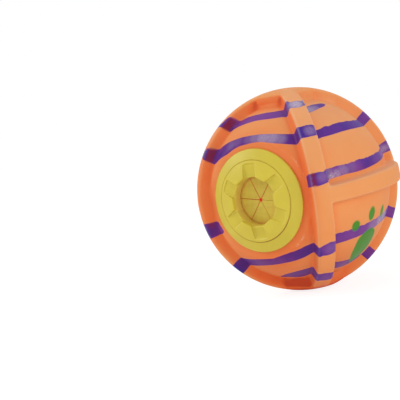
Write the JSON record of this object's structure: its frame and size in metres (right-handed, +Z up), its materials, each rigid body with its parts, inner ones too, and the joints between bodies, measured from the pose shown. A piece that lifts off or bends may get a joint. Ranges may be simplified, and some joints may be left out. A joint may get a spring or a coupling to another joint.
{
  "type": "treat dispensing ball",
  "caption": "Hollow ribbed vinyl ball for dogs, with a screw-in mouth whose slit flaps let dry treats drop out as it rolls.",
  "frame": {"origin": "the lowest point, on the lower pole boss, where the ball stands", "axes": "+Z up through both pole bosses, -Y out through the mouth along its axis, +X to the right as the mouth is seen"},
  "size_m": [0.11, 0.0986, 0.11],
  "materials": {
    "orange_vinyl": "satin soft vinyl with sprayed purple and green decoration",
    "yellow_plastic": "satin moulded plastic",
    "yellow_rubber": "soft matt rubber"
  },
  "bodies": {
    "ball": {"ball_shell": "orange_vinyl", "mouth_collar": "yellow_plastic"},
    "diaphragm": {"diaphragm_rim": "yellow_rubber"},
    "cap": {"twist_cap": "yellow_plastic", "clamp_ring": "yellow_plastic"},
    "flap_1": {"flap_1": "yellow_rubber"},
    "flap_2": {"flap_2": "yellow_rubber"},
    "flap_3": {"flap_3": "yellow_rubber"},
    "flap_4": {"flap_4": "yellow_rubber"},
    "flap_5": {"flap_5": "yellow_rubber"},
    "flap_6": {"flap_6": "yellow_rubber"}
  },
  "joints": [
    {"name": "cap_rise", "type": "slide", "parent": "ball", "child": "diaphragm", "axis": [0, -1, 0], "range_m": [0, 0.005]},
    {"name": "cap_turn", "type": "hinge", "parent": "diaphragm", "child": "cap", "pos_m": [0, -0.03523, 0.055], "axis": [0, -1, 0], "range_deg": [0, 360]},
    {"name": "flap_1_bend", "type": "hinge", "parent": "diaphragm", "child": "flap_1", "pos_m": [0.00915, -0.03523, 0.05861], "axis": [-0.3665, 0, 0.9304], "range_deg": [-50, 50], "stiffness_Nm_per_rad": 0.0008},
    {"name": "flap_2_bend", "type": "hinge", "parent": "diaphragm", "child": "flap_2", "pos_m": [0.00145, -0.03523, 0.06473], "axis": [-0.989, 0, 0.1478], "range_deg": [-50, 50], "stiffness_Nm_per_rad": 0.0008},
    {"name": "flap_3_bend", "type": "hinge", "parent": "diaphragm", "child": "flap_3", "pos_m": [-0.0077, -0.03523, 0.06112], "axis": [-0.6225, 0, -0.7826], "range_deg": [-50, 50], "stiffness_Nm_per_rad": 0.0008},
    {"name": "flap_4_bend", "type": "hinge", "parent": "diaphragm", "child": "flap_4", "pos_m": [-0.00915, -0.03523, 0.05139], "axis": [0.3665, 0, -0.9304], "range_deg": [-50, 50], "stiffness_Nm_per_rad": 0.0008},
    {"name": "flap_5_bend", "type": "hinge", "parent": "diaphragm", "child": "flap_5", "pos_m": [-0.00145, -0.03523, 0.04527], "axis": [0.989, 0, -0.1478], "range_deg": [-50, 50], "stiffness_Nm_per_rad": 0.0008},
    {"name": "flap_6_bend", "type": "hinge", "parent": "diaphragm", "child": "flap_6", "pos_m": [0.0077, -0.03523, 0.04888], "axis": [0.6225, 0, 0.7826], "range_deg": [-50, 50], "stiffness_Nm_per_rad": 0.0008}
  ],
  "couplings": [
    {"joint": "cap_rise", "follows": "cap_turn", "m_per_rad": 0.00079577}
  ]
}
